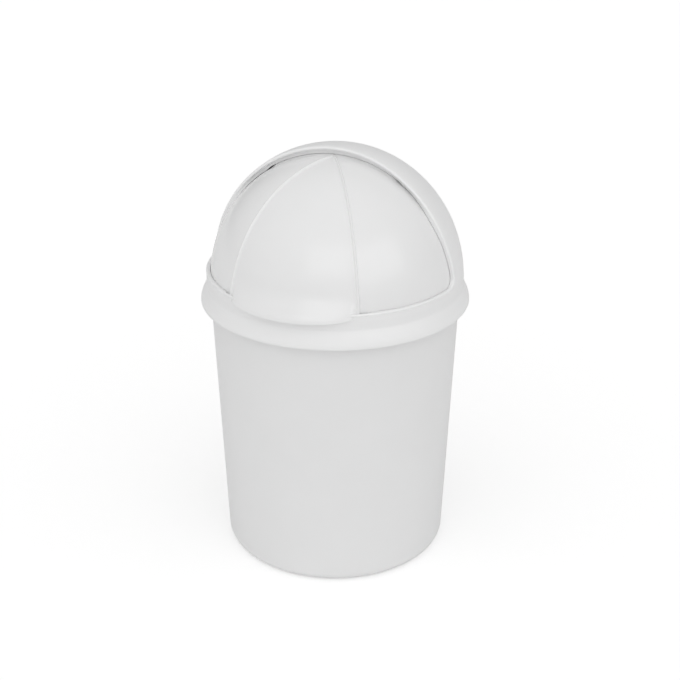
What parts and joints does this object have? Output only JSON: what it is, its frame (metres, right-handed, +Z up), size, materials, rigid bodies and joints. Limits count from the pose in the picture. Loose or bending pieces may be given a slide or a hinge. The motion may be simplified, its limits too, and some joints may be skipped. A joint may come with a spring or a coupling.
{
  "type": "wastebasket",
  "caption": "Round tapered plastic wastebasket with a domed lift-off lid, open at the front, and a quarter-sphere flap that rolls back under the dome.",
  "frame": {"origin": "centre of the base, on the surface that the basket stands on", "axes": "+Z up; -Y is the front, where the flap opens; +X is to the right of someone looking along +Y at the front"},
  "size_m": [0.255, 0.255, 0.4003],
  "materials": {
    "bin_plastic": "white moulded polypropylene, satin",
    "lid_plastic": "white moulded polypropylene, satin",
    "flap_plastic": "white moulded polypropylene, semi-gloss",
    "pin_plastic": "white moulded plastic, satin"
  },
  "bodies": {
    "bin": {"bin_body": "bin_plastic"},
    "lid": {"lid_hood": "lid_plastic", "pivot_pin_left": "pin_plastic", "pivot_pin_right": "pin_plastic"},
    "flap": {"swing_flap": "flap_plastic"}
  },
  "joints": [
    {"name": "lid_lift", "type": "slide", "parent": "bin", "child": "lid", "axis": [0, 0, 1], "range_m": [0, 0.1]},
    {"name": "flap_roll", "type": "hinge", "parent": "lid", "child": "flap", "pos_m": [0, 0, 0.2733], "axis": [-1, 0, 0], "range_deg": [0, 75]}
  ]
}
